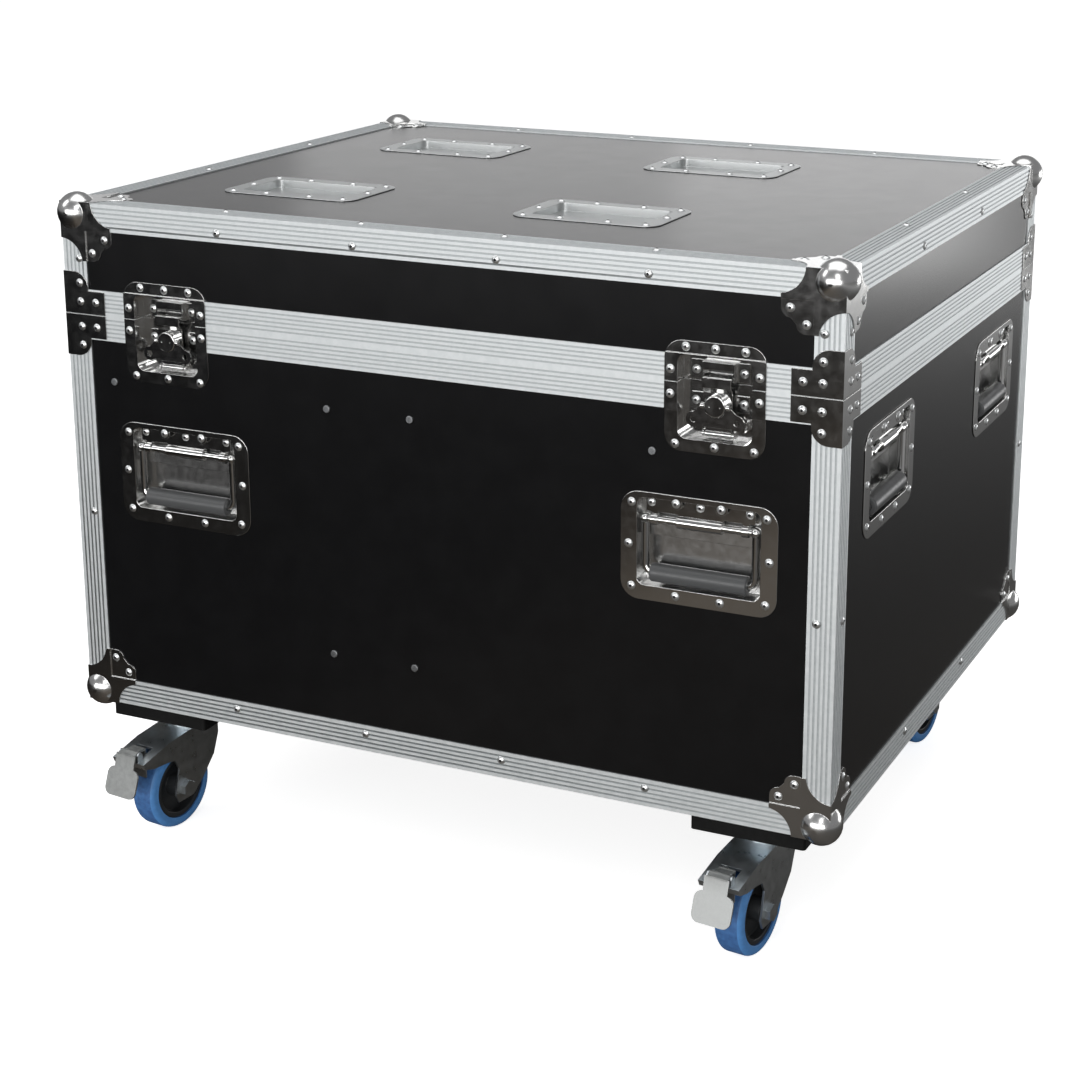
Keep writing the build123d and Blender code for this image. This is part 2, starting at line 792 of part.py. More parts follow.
latch_height = latch_top + latch_bottom
latch_middle = (latch_top - latch_bottom) / 2
latch_outline = rounded(latch_width, latch_height, latch_corner, 0, latch_middle)
latch_outline -= rounded(recess_width, recess_height, recess_corner, 0, recess_middle)
rim_zone = Rectangle(latch_width, 2 * rim_height)
step_zone = Rectangle(latch_width, 2 * (rim_height + plate_thick))
latch_dish = stepped(latch_outline, rim_zone, latch_outline & step_zone)
latch_pan = pressed_dish(recess_width, recess_height, recess_corner, latch_pan_depth, 0, recess_middle)
latch_pan -= slab(latch_hole, -panel_skin, 0) - slab(rim_zone, -panel_skin, 0)
latch_pan += slab(
    (rounded(recess_width + 2 * plate_thick, recess_height + 2 * plate_thick,
             recess_corner + plate_thick, 0, recess_middle)
     - rounded(recess_width, recess_height, recess_corner, 0, recess_middle)), -latch_pan_depth, -panel_skin)
latch_dish += latch_pan
lower_half = Pos(0, -latch_split / 2, 0) * Box(
    2 * latch_width, latch_height, latch_height, align=(Align.CENTER, Align.MAX, Align.CENTER))
upper_half = Pos(0, latch_split / 2, 0) * Box(
    2 * latch_width, latch_height, latch_height, align=(Align.CENTER, Align.MIN, Align.CENTER))

eye = slab(Pos(eye_side, -eye_drop) * Rectangle(eye_thick, eye_width), -latch_pan_depth, -eye_depth)
eye -= Pos(eye_side, -eye_drop, -eye_depth - eye_width / 2) * Rot(0, 90, 0) * Cylinder(eye_hole, eye_width)
base_dish = (latch_dish & lower_half) + eye
lid_dish = latch_dish & upper_half

base_plate = Pos(0, -base_plate_low) * Rectangle(
    base_plate_width, base_plate_low - base_plate_top, align=(Align.CENTER, Align.MIN))
base_plate += Pos(0, -base_plate_bottom) * Rectangle(
    base_plate_foot, base_plate_bottom - base_plate_top, align=(Align.CENTER, Align.MIN))
base_plate -= Pos(0, -window_top) * Rectangle(2 * window_half, latch_height, align=(Align.CENTER, Align.MAX))
base_plate = slab(base_plate, -latch_pan_depth, base_plate_thick - latch_pan_depth)
pin_length = 2 * (window_half + ear_gap + ear_thick)
for side in (-1, 1):
    middle = side * (window_half + ear_gap + ear_thick / 2)
    base_plate += along_u(
        knuckle_radius, middle - ear_thick / 2, middle + ear_thick / 2, -pivot_drop, -pivot_depth)
    base_plate += Pos(middle, -pivot_drop, -latch_pan_depth) * Box(
        ear_thick, 2 * knuckle_radius, latch_pan_depth - pivot_depth,
        align=(Align.CENTER, Align.CENTER, Align.MIN))
base_plate += along_u(pivot_radius, -pin_length / 2, pin_length / 2, -pivot_drop, -pivot_depth)

carrier = slab(Pos(0, -pivot_drop) * Rectangle(
    carrier_width, pivot_drop - carrier_top, align=(Align.CENTER, Align.MIN)),
    -carrier_depth, carrier_thick - carrier_depth)
carrier += along_u(knuckle_radius, -carrier_width / 2, carrier_width / 2, -pivot_drop, -pivot_depth)
carrier -= along_u(pivot_radius + running_clearance, -carrier_width, carrier_width, -pivot_drop, -pivot_depth)
carrier -= Pos(0, -hub_drop, -carrier_depth) * Cylinder(
    spindle_radius + running_clearance, 2 * hook_low_depth)

hook_line = (
    (-hook_bottom, -hook_low_depth), (-hook_bend_low, -hook_low_depth), (-hook_bend_high, -hook_high_depth),
    (hook_nose_base, -hook_high_depth), (hook_nose_base, -hook_nose_depth),
    (hook_nose_base + hook_nose_height, -hook_nose_depth),
    (hook_nose_base + hook_nose_height, hook_thick - hook_high_depth),
    (-hook_bend_high, hook_thick - hook_high_depth), (-hook_bend_low, hook_thick - hook_low_depth),
    (-hook_bottom, hook_thick - hook_low_depth))
hook = bent(hook_line, hook_width / 2)
hook_slot = SlotCenterPoint((0, -hook_lift / 2), (0, 0), 2 * (spindle_radius + slot_slack))
hook -= slab(Pos(0, -hub_drop) * hook_slot, -hook_low_depth, -hook_nose_depth)

hub_back = -hook_low_depth + hook_thick + head_gap
spindle = Pos(0, 0, hub_back) * Cylinder(
    hub_radius, hub_front - hub_back, align=(Align.CENTER, Align.CENTER, Align.MIN))
spindle = fillet(spindle.edges().group_by(Axis.Z)[-1], hub_edge)
for side in (-1, 1):
    spindle -= Pos(side * hub_radius / 2, 0, hub_front) * Cylinder(hub_dot_radius, 2 * hub_dot_depth)
shaft_end = -carrier_depth - head_gap - spindle_head_thick
spindle += slab(Circle(spindle_radius), shaft_end, hub_back)
spindle += slab(Circle(spindle_head_radius), shaft_end, shaft_end + spindle_head_thick)
wing_middle = wing_thick / 2 - wing_depth
spindle += along_u(wing_pin_radius, -wing_pin_reach, wing_pin_reach, 0, wing_middle)
spindle = Pos(0, -hub_drop, 0) * spindle

wing_outline = make_face(Polyline(
    (-wing_top_half, 0), (wing_top_half, 0), (wing_lobe_side, wing_lobe_radius - wing_lobe_drop),
    (wing_lobe_side, -wing_lobe_drop - wing_lobe_radius), (0, -hub_radius - wing_bridge),
    (-wing_lobe_side, -wing_lobe_drop - wing_lobe_radius),
    (-wing_lobe_side, wing_lobe_radius - wing_lobe_drop), close=True))
for side in (-1, 1):
    wing_outline += Pos(side * wing_lobe_side, -wing_lobe_drop) * Circle(wing_lobe_radius)
for side in (-1, 1):
    wing_outline -= Pos(side * wing_lobe_side, -wing_lobe_drop) * Circle(wing_hole_radius)
wing_outline -= Circle(hub_radius + wing_notch_slack)
wing = slab(wing_outline, -wing_depth, wing_thick - wing_depth)
for side in (-1, 1):
    inner = side * (hub_radius + wing_notch_slack)
    outer = side * wing_pin_reach
    wing += along_u(wing_ear_radius, min(inner, outer), max(inner, outer), 0, wing_middle)
wing -= along_u(wing_pin_radius + running_clearance, -wing_lobe_side, wing_lobe_side, 0, wing_middle)
wing -= Pos(0, 0, wing_middle) * Cylinder(hub_radius + wing_notch_slack, 2 * wing_ear_radius)
wing = Pos(0, -hub_drop, 0) * wing

keeper = slab(Pos(0, keeper_base) * Rectangle(
    keeper_width, keeper_box_top - keeper_base, align=(Align.CENTER, Align.MIN)),
    -latch_pan_depth, -keeper_front_depth)
inner_half = keeper_width / 2 - keeper_thick
keeper -= slab(Pos(0, -keeper_base) * Rectangle(
    2 * inner_half, keeper_box_top - keeper_thick + keeper_base, align=(Align.CENTER, Align.MIN)),
    -latch_pan_depth, -keeper_front_depth - keeper_thick)
keeper -= slab(Pos(0, keeper_slot_base) * Rectangle(
    2 * inner_half, keeper_slot_top - keeper_slot_base, align=(Align.CENTER, Align.MIN)),
    -latch_pan_depth, -keeper_front_depth)
for side in (-1, 1):
    keeper += slab(Pos(side * (keeper_width + keeper_ear) / 2, keeper_base) * Rectangle(
        keeper_ear, keeper_box_top - keeper_base, align=(Align.CENTER, Align.MIN)),
        -latch_pan_depth, keeper_thick - latch_pan_depth)


def latch_parts(solid):
    return [on(FRONT, u, 0, [solid])[0] for u in latch_places.values()]


save("latch_dishes", latch_parts(base_dish))
save("lid_latch_dishes", latch_parts(lid_dish))
save("latch_base_plates", latch_parts(base_plate))
save("latch_keepers", latch_parts(keeper))
for name, u in latch_places.items():
    for piece, solid in (("carrier", carrier), ("hook", hook), ("spindle", spindle), ("wing", wing)):
        save(f"latch_{name}_{piece}", on(FRONT, u, 0, [solid]))


# Boards inside and their screws

board_end = case_depth / 2 - panel_back
clearances = []
for face, u, w in handle_places.values():
    if face in (FRONT, BACK):
        pocket = rounded(
            handle_opening_width + 2 * board_gap, handle_opening_height + 2 * board_gap,
            handle_opening_corner, 0, handle_opening_lift)
        clearances += on(face, u, w, [slab(pocket, -handle_pan_depth - 2 * board_gap, 0)])
screw_room = []
screw_depth = panel_skin + screw_shank_length + screw_head_height
for face in (FRONT, BACK):
    for u, w in mirrored_screws(face):
        screw_room += on(face, u, w, [slab(screw_hole, -screw_depth, 0)])
boards = []
for x in partition_places:
    low = (x - partition_thick / 2, case_mid_y - board_end, case_bottom + panel_back)
    high = (x + partition_thick / 2, case_mid_y + board_end, joint_z - partition_drop)
    boards.append(span_box(low, high) - clearances - screw_room)
save("partition_walls", boards)
screw = partition_screw()
save("partition_screws", [
    on(face, u, w, [screw])[0] for face in (FRONT, BACK) for u, w in mirrored_screws(face)])


# Hinges

def hinge_leaf(up):
    """One leaf on the back face, with its share of the knuckles, about (0, 0, 0) on the joint."""
    sign = 1 if up else -1
    leaf = slab(Pos(0, sign * (hinge_gap + hinge_leaf_height) / 2) * Rectangle(
        hinge_width, hinge_leaf_height - hinge_gap), 0, hinge_leaf_thick)
    pitch = hinge_width / hinge_knuckles
    for number in range(hinge_knuckles):
        if (number % 2 == 1) != up:
            continue
        low = -hinge_width / 2 + number * pitch + hinge_gap / 2
        high = low + pitch - hinge_gap
        leaf += along_u(hinge_knuckle_radius, low, high, 0, hinge_axis_out)
        web = Pos((low + high) / 2, sign * (hinge_web_near + hinge_web_far) / 2) * Rectangle(
            high - low, hinge_web_far - hinge_web_near)
        leaf += slab(web, 0, hinge_axis_out)
    if up:
        return leaf + along_u(hinge_pin_radius, -hinge_width / 2, hinge_width / 2, 0, hinge_axis_out)
    return leaf - along_u(
        hinge_pin_radius + running_clearance, -hinge_width, hinge_width, 0, hinge_axis_out)


hinge_places = [hinge_inset - half_width, half_width - hinge_inset]
save("base_hinge_leaves", [on(BACK, u, 0, [hinge_leaf(False)])[0] for u in hinge_places])
save("lid_hinge_leaves", [on(BACK, u, 0, [hinge_leaf(True)])[0] for u in hinge_places])


# Castors: drawn with the swivel axis at the origin and the case's underside at Z = 0

SIDE = Plane(origin=(0, 0, 0), x_dir=(0, -1, 0), z_dir=(-1, 0, 0))


def side_solid(points, half):
    """A solid from its (outward, down) outline, centred on the castor's middle plane."""
    outline = make_face(Polyline(*[(v, -w) for v, w in points], close=True))
    return extrude(SIDE * outline, half, both=True)


def across(radius, half, v, w):
    """A round bar through the castor from side to side."""
    return SIDE * Pos(v, -w) * Cylinder(radius, 2 * half)


def ring_of(places, solid):
    return [Pos(u, w, 0) * solid for u, w in places]


plate_top = board_thick
plate_base = plate_top + castor_plate_thick
race_base = plate_base + race_thick
head_top = race_base + race_gap
axle_drop = board_thick + castor_height - wheel_radius
bolt_places = mirrored([(castor_hole_x / 2, castor_hole_y / 2), (castor_hole_x / 2, -castor_hole_y / 2)])

mount_plate = slab(
    rounded(castor_plate_width, castor_plate_depth, castor_plate_corner), -plate_base, -plate_top)
mount_plate -= ring_of(bolt_places, slab(Circle(castor_bolt_radius + running_clearance), -plate_base, 0))
mount_plate += slab(Circle(race_radius), -race_base, -plate_base)
pin_head_top = fork_top + fork_sheet + kingpin_play
mount_plate += slab(Circle(kingpin_radius), -pin_head_top, -race_base)
mount_plate += slab(Circle(kingpin_head_radius), -pin_head_top - kingpin_head_thick, -pin_head_top)

fork_half = fork_inside + fork_sheet
cavity = [(-overrun, fork_top + fork_sheet)]
cavity += [(v, w + fork_sheet) for v, w in fork_outline[1:3]]
cavity += [
    (lip_v - lip_wall, lip_w + fork_sheet), (lip_v - 2 * lip_wall, 2 * castor_height),
    (-overrun, 2 * castor_height)]
fork = side_solid(fork_outline, fork_half) - side_solid(cavity, fork_inside)
fork += slab(Circle(fork_head_radius), -fork_top - fork_sheet, -head_top)
fork -= slab(Circle(kingpin_radius + running_clearance), -castor_height, 0)
fork -= across(axle_radius + running_clearance, 2 * fork_half, castor_trail, axle_drop)
slot_middle = lip_v - (slot_far + slot_near) / 2
fork -= Pos(0, -slot_middle, -fork_top) * Box(slot_width, slot_far - slot_near, overrun)
for side in (-1, 1):
    ear_middle = side * (tab_width / 2 + ear_gap + ear_thick / 2)
    fork += Pos(ear_middle, 0, 0) * across(brake_ear_radius, ear_thick / 2, brake_pin_v, brake_pin_w)
    fork += Pos(ear_middle, -brake_pin_v, -brake_pin_w) * Box(
        ear_thick, 2 * brake_ear_radius, lip_w + fork_sheet / 2 - brake_pin_w,
        align=(Align.CENTER, Align.CENTER, Align.MAX))
fork += across(brake_pin_radius, tab_width / 2 + ear_gap + ear_thick, brake_pin_v, brake_pin_w)

axle = across(axle_radius, fork_half, castor_trail, axle_drop)
for side in (-1, 1):
    head = RegularPolygon(axle_head_flat, 6, major_radius=False)
    head = extrude(head, axle_head_height)
    head = Rot(0, side * 90, 0) * head
    axle += Pos(side * fork_half, -castor_trail, -axle_drop) * head

tyre = across(wheel_radius, wheel_width / 2, castor_trail, axle_drop)
tyre = fillet(tyre.edges(), tyre_round)
tyre -= across(hub_rim_radius + running_clearance, wheel_width, castor_trail, axle_drop)
hub = across(hub_rim_radius, wheel_width / 2 - hub_inset, castor_trail, axle_drop)
hub -= across(hub_rim_radius - hub_rim_wall, wheel_width, castor_trail, axle_drop)
hub += across(hub_rim_radius - hub_rim_wall / 2, hub_web / 2, castor_trail, axle_drop)
hub += across(hub_boss_radius, hub_boss_width / 2, castor_trail, axle_drop)
hub -= across(axle_radius + running_clearance, wheel_width, castor_trail, axle_drop)


def strip_along(points, thick, half):
    """A strip of sheet whose outer face follows the points, in the castor's (outward, down) plane."""
    pieces = []
    for (v0, w0), (v1, w1) in zip(points, points[1:]):
        length = hypot(v1 - v0, w1 - w0)
        along_v = (v1 - v0) / length
        along_w = (w1 - w0) / length
        lap = thick / 4
        low = (v0 - along_v * lap, w0 - along_w * lap)
        high = (v1 + along_v * lap, w1 + along_w * lap)
        inner = [(v - along_w * thick, w + along_v * thick) for v, w in (high, low)]
        pieces.append(side_solid((low, high, *inner), half))
    return pieces


pedal = across(brake_knuckle_radius, tab_width / 2, brake_pin_v, brake_pin_w)
pedal_lengths = ((shoe_shares, tab_riser_width), (tab_shares, tab_width), (neck_shares, pedal_neck_width))
for shares, width in pedal_lengths:
    line = [(brake_pin_v + v * wheel_radius, brake_pin_w + w * wheel_radius) for v, w in shares]
    for piece in strip_along(line, pedal_thick, width / 2):
        pedal += piece
pad_top = (0, -brake_pin_v - pedal_out, -brake_pin_w - pedal_drop)
PAD = Plane(origin=pad_top, x_dir=(1, 0, 0), z_dir=(0, -pedal_fall, pedal_lean))
pad = Pos(0, -pedal_length / 2) * RectangleRounded(pedal_width, pedal_length, pedal_corner)
pedal += PAD.location * slab(pad, -pedal_thick, 0)
pedal -= across(brake_pin_radius + running_clearance, pedal_width, brake_pin_v, brake_pin_w)

board = Box(board_width, board_depth, board_thick, align=(Align.CENTER, Align.CENTER, Align.MAX))
board = fillet(board.edges().filter_by(Axis.Z), board_round)
pad_low = angle_leg + opening_gap
corner_x = -board_inset_x - board_width / 2
corner_y = -board_centre_in
board += span_box(
    (corner_x + pad_low, corner_y + pad_low, 0), (board_width / 2, board_depth / 2, panel_skin))
pocket_depth = plate_thick + rivet_height + opening_gap
pocket = offset(flange_outline, opening_gap)
board -= Pos(corner_x, corner_y, 0) * slab(pocket, -pocket_depth, panel_skin)
board -= Pos(corner_x + ball_centre, corner_y + ball_centre, ball_centre) * Sphere(ball_radius + opening_gap)
nut_base = pocket_depth + tee_nut_thick
board -= ring_of(bolt_places, slab(Circle(castor_bolt_radius + running_clearance), -board_thick, panel_skin))
board -= ring_of(bolt_places, slab(
    Circle(tee_nut_barrel + running_clearance), -nut_base - tee_nut_length, panel_skin))
board -= ring_of(bolt_places, slab(Circle(tee_nut_radius + running_clearance), -nut_base, panel_skin))

bolt = slab(Circle(castor_bolt_radius), -plate_base, -pocket_depth)
bolt_head = RegularPolygon(castor_bolt_head, 6, major_radius=False)
bolt += slab(bolt_head, -plate_base - castor_bolt_head_height, -plate_base)
nut = slab(Circle(tee_nut_radius), -nut_base, -pocket_depth)
nut += slab(Circle(tee_nut_barrel), -nut_base - tee_nut_length, -nut_base)
nut -= slab(Circle(castor_bolt_radius + running_clearance), -castor_height, 0)

castor_ends = {
    "front_left": (-1, False), "front_right": (1, False), "back_left": (-1, True), "back_right": (1, True)}
board_solids, plate_solids, bolt_solids = [], [], []
for name, (side, back) in castor_ends.items():
    y = case_back - board_centre_in if back else case_front + board_centre_in
    place = Pos(side * board_centre_x, y, case_bottom)
    solid = board if side < 0 else mirror(board, Plane.YZ)
    board_solids.append(place * (mirror(solid, Plane.XZ) if back else solid))
    plate_solids.append(place * mount_plate)
    bolt_solids += [place * piece for piece in ring_of(bolt_places, bolt) + ring_of(bolt_places, nut)]
    turned = place * Rot(0, 0, castor_turn)
    save(f"castor_{name}_fork", [turned * fork, turned * axle])
    save(f"castor_{name}_wheel", [turned * hub, turned * tyre])
    save(f"castor_{name}_pedal", [turned * pedal])
save("castor_boards", board_solids)
save("castor_plates", plate_solids)
save("castor_bolts", bolt_solids)


# Rivets

base_rivets = []
lid_rivets = []
for right, back in ends:
    for top, group in ((False, base_rivets), (True, lid_rivets)):
        for angle in (0, 120, 240):
            for u, w in corner_rivet_places:
                head = mirror(Pos(u, w, plate_thick - panel_skin) * rivet_head(), Plane.XY)
                group.append(at_corner(head.rotate(Axis((0, 0, 0), (1, 1, 1)), angle), right, back, top))
for face, width in ((FRONT, case_width), (RIGHT, case_depth), (BACK, case_width), (LEFT, case_depth)):
    far = width / 2
    brace_places = [(far - brace_rivet_near, brace_rivet_drop), (far - brace_rivet_far, brace_rivet_drop),
                    (far - brace_rivet_near, brace_rivet_low)]
    lid_rivets += rivets(face, mirrored(brace_places), plate_thick)
    base_rivets += rivets(face, mirrored([(u, -w) for u, w in brace_places]), plate_thick)
    base_rivets += rivets(face, mirrored([(far - rivet_line, -base_height / 2)]))
    lid_rivets += rivets(face, mirrored([(far - rivet_line, lid_height / 2)]))
    if width == case_width:
        spread = mirrored([(angle_rivet_pitch / 2, 0), (3 * angle_rivet_pitch / 2, 0)])
    else:
        spread = mirrored([(side_rivet_pitch / 2, 0)])
    lid_rivets += rivets(face, [(u, lid_height - rivet_line) for u, w in spread])
    base_rivets += rivets(face, [(u, rivet_line - base_height) for u, w in spread])
    for level, normal, group in ((case_top, 1, lid_rivets), (case_bottom, -1, base_rivets)):
        flat = Plane(origin=(face.origin.X, face.origin.Y, level), x_dir=face.x_dir, z_dir=(0, 0, normal))
        group += rivets(flat, [(u, normal * rivet_line) for u, w in spread])

for u in latch_places.values():
    column = [(u + du, w) for du, w in mirrored([(latch_rivet_side, -latch_rivet_drop)])]
    base_rivets += rivets(FRONT, column, plate_thick)
    low_row = mirrored([(latch_rivet_wide, -latch_rivet_low)]) + [(0, -latch_rivet_low)]
    base_rivets += rivets(FRONT, [(u + du, w) for du, w in low_row], plate_thick - panel_skin)
    plate_row = mirrored([(plate_rivet_side, -plate_rivet_drop)])
    base_rivets += rivets(FRONT, [(u + du, w) for du, w in plate_row], base_plate_thick - latch_pan_depth)
    column = [(u + du, w) for du, w in mirrored([(latch_rivet_side, latch_rivet_drop)])]
    lid_rivets += rivets(FRONT, column, plate_thick)
    high_row = mirrored([(lid_latch_rivet_wide, lid_latch_rivet_high)]) + [(0, lid_latch_rivet_high)]
    lid_rivets += rivets(FRONT, [(u + du, w) for du, w in high_row], plate_thick - panel_skin)
    keeper_row = mirrored([(keeper_rivet_side, keeper_rivet_up)])
    lid_rivets += rivets(FRONT, [(u + du, w) for du, w in keeper_row], keeper_thick - latch_pan_depth)

for face, u, w in handle_places.values():
    flange_row = mirrored([
        (share_u * handle_width / 2, share_w * handle_height / 2)
        for share_u, share_w in handle_rivet_shares])
    base_rivets += rivets(face, [(u + du, w + dw) for du, dw in flange_row], plate_thick - panel_skin)
    hinge_row = mirrored([(hinge_plate_rivet_u, hinge_plate_rivet_w)]) + [(0, hinge_plate_rivet_w)]
    base_rivets += rivets(face, [(u + du, w + dw) for du, dw in hinge_row], -hinge_plate_depth - panel_skin)

dish_rivet_x = dish_width / 2 - dish_rivet_inset
dish_rivet_y = dish_depth / 2 - dish_rivet_inset
dish_rivets = mirrored([
    (dish_rivet_x - dish_rivet_tuck, dish_rivet_y), (dish_rivet_x - dish_rivet_tuck, -dish_rivet_y),
    (dish_rivet_x, 0),
    (dish_rivet_x * dish_rivet_share, dish_rivet_y), (dish_rivet_x * dish_rivet_share, -dish_rivet_y)])
for u, w in dish_places:
    lid_rivets += rivets(TOP, [(u + du, w + dw) for du, dw in dish_rivets], plate_thick - panel_skin)

for u in hinge_places:
    row = mirrored([(hinge_rivet_side, hinge_rivet_up)]) + [(0, hinge_rivet_up)]
    lid_rivets += rivets(BACK, [(u + du, w) for du, w in row], hinge_leaf_thick)
    base_rivets += rivets(BACK, [(u + du, -w) for du, w in row], hinge_leaf_thick)
save("base_rivets", base_rivets)
save("lid_rivets", lid_rivets)
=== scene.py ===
"""Lighting flight case: finishes, rounded pieces, camera and studio around the solids."""
import json
import math

import bpy
from mathutils import Matrix, Vector
from mathutils.kdtree import KDTree


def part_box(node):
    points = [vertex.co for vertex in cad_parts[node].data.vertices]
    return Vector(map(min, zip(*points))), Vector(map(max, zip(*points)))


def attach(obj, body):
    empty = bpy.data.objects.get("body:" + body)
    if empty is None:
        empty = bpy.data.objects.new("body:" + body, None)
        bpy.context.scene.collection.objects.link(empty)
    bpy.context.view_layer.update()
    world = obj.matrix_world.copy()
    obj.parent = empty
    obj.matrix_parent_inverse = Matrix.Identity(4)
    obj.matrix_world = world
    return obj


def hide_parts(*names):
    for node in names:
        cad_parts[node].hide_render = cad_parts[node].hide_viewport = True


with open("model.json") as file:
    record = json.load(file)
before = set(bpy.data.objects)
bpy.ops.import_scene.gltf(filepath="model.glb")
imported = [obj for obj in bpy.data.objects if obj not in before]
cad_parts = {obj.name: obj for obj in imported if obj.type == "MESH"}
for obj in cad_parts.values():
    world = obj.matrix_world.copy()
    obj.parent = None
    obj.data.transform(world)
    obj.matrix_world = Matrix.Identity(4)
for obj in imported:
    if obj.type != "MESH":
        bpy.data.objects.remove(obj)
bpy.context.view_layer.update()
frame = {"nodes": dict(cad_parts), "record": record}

MM = 0.001
scene = bpy.context.scene
scene.view_settings.view_transform = "Standard"


# Camera: fitted to the edges of the case in the photograph

def place_camera():
    """The lens and its shift off the picture's centre, the camera's three axes and its place."""
    lens = bpy.data.cameras.new("photo_camera")
    lens.sensor_width = 36
    lens.lens = 73.53
    lens.shift_x = -0.0629
    lens.shift_y = -0.1204
    lens.clip_end = 200
    camera = bpy.data.objects.new("photo_camera", lens)
    right = Vector((0.91106, 0.41226, 0.00292))
    up = Vector((-0.11041, 0.23715, 0.96518))
    back = Vector((0.39721, -0.87966, 0.26158))
    turn = Matrix((right, up, back)).transposed().to_4x4()
    camera.matrix_world = Matrix.Translation((1.0761, -2.2704, 1.1463)) @ turn
    scene.collection.objects.link(camera)
    scene.camera = camera


place_camera()


# Finishes

def shade(code):
    """An sRGB hex colour as linear RGBA."""
    parts = [int(code[i:i + 2], 16) / 255 for i in (1, 3, 5)]
    return (*[part / 12.92 if part <= 0.04045 else ((part + 0.055) / 1.055) ** 2.4
              for part in parts], 1)


def put(owner, kind, settings=None, links=None):
    """Add a node.

    The settings are its properties and unlinked inputs, the links its inputs from other nodes.
    """
    node = owner.node_tree.nodes.new(kind)
    for name, value in (settings or {}).items():
        if isinstance(name, int) or name in node.inputs:
            node.inputs[name].default_value = value
        else:
            setattr(node, name, value)
    for name, source in (links or {}).items():
        owner.node_tree.links.new(source, node.inputs[name])
    return node


def finish_of(name, colour, metallic, roughness, **more):
    """A material and its shader, ready for a pattern."""
    material = bpy.data.materials.new(name)
    material.use_nodes = True
    shader = material.node_tree.nodes["Principled BSDF"]
    shader.inputs["Base Color"].default_value = shade(colour)
    shader.inputs["Metallic"].default_value = metallic
    shader.inputs["Roughness"].default_value = roughness
    for socket, value in more.items():
        shader.inputs[socket.replace("_", " ")].default_value = value
    return material, shader


def millimetres(material, size, stretch=(1, 1, 1)):
    """Object coordinates scaled so that one unit is the given number of millimetres."""
    where = put(material, "ShaderNodeTexCoord")
    scale = [share / (size * MM) for share in stretch]
    scaled = put(material, "ShaderNodeMapping", {"Scale": scale},
                 {"Vector": where.outputs["Object"]})
    return scaled.outputs["Vector"]


def mottle(material, shader, size, low, high):
    """Vary the roughness with noise whose spots are about size millimetres across."""
    noise = put(material, "ShaderNodeTexNoise", {"Scale": 1.0, "Detail": 3},
                {"Vector": millimetres(material, size)})
    spread = put(material, "ShaderNodeMapRange",
                 {"From Min": 0.3, "From Max": 0.7, "To Min": low, "To Max": high},
                 {"Value": noise.outputs["Fac"]})
    material.node_tree.links.new(spread.outputs["Result"], shader.inputs["Roughness"])
    return noise.outputs["Fac"]


def tint(material, shader, source, dark, light):
    """Vary the colour between two shades with an existing pattern."""
    ramp = put(material, "ShaderNodeValToRGB", {}, {"Fac": source})
    for stop, place, colour in zip(ramp.color_ramp.elements, (0.35, 0.65), (dark, light)):
        stop.position = place
        stop.color = shade(colour)
    material.node_tree.links.new(ramp.outputs["Color"], shader.inputs["Base Color"])


def grain(material, shader, size, depth, stretch=(1, 1, 1)):
    """Relief of the given depth, with bumps about size across, both in millimetres."""
    noise = put(material, "ShaderNodeTexNoise", {"Scale": 1.0},
                {"Vector": millimetres(material, size, stretch)})
    bump = put(material, "ShaderNodeBump", {"Strength": 1.0, "Distance": depth * MM},
               {"Height": noise.outputs["Fac"]})
    material.node_tree.links.new(bump.outputs["Normal"], shader.inputs["Normal"])


def laminate():
    """Phenolic film pressed on plywood: near black, with a fine grain that greys at a low angle."""
    material, shader = finish_of("laminate_phenolic_black", "#0d0d0e", 0, 0.22,
                                 Specular_IOR_Level=0.34)
    spots = mottle(material, shader, 30, 0.214, 0.227)
    tint(material, shader, spots, "#0c0c0d", "#0e0e0f")
    grain(material, shader, 1.4, 0.008)
    return material


def painted_ply():
    """Plywood with a coat of matte black paint."""
    material, shader = finish_of("plywood_painted_black", "#060606", 0, 0.7,
                                 Specular_IOR_Level=0.25)
    mottle(material, shader, 8, 0.62, 0.78)
    grain(material, shader, 2.5, 0.08, stretch=(1, 0.2, 1))
    return material


def anodised():
    """Extruded aluminium, satin anodised: pale and even."""
    material, shader = finish_of("aluminium_anodised_satin", "#e2e5e6", 1, 0.6)
    spots = mottle(material, shader, 6, 0.57, 0.63)
    tint(material, shader, spots, "#dee2e3", "#e6e9ea")
    grain(material, shader, 1.2, 0.004)
    return material


def groove():
    """The floors of the aluminium's grooves: the same metal, a little rougher, with a darker colour
    as painted shade in the recess.
    """
    material, shader = finish_of("aluminium_groove_painted_shade", "#c4c8ca", 1, 0.65)
    spots = mottle(material, shader, 4, 0.61, 0.69)
    tint(material, shader, spots, "#bec2c4", "#cacecf")
    return material


def bright_plate():
    """Pressed steel with bright plating: a mirror that waves a little with the sheet."""
    material, shader = finish_of("steel_bright_plated", "#d3d3d2", 1, 0.12)
    mottle(material, shader, 9, 0.1, 0.15)
    grain(material, shader, 22, 0.02)
    return material


def ball_steel():
    """Drawn balls and pans: bright plating over steel that the press stretched satin."""
    material, shader = finish_of("steel_drawn_satin", "#d6d6d5", 1, 0.22)
    mottle(material, shader, 7, 0.2, 0.25)
    grain(material, shader, 14, 0.01)
    return material


def painted_shade_steel():
    """Steel darkened as painted shade: the rivets' dimples and the undersides of the lid's dishes.
    """
    material, shader = finish_of("steel_painted_shade", "#3c3c3d", 1, 0.55)
    mottle(material, shader, 2, 0.5, 0.62)
    return material


def rivet_steel():
    """Tumbled steel of the rivet heads: pale and softly bright."""
    material, shader = finish_of("steel_tumbled_pale", "#eceeee", 1, 0.34)
    mottle(material, shader, 2, 0.31, 0.38)
    return material


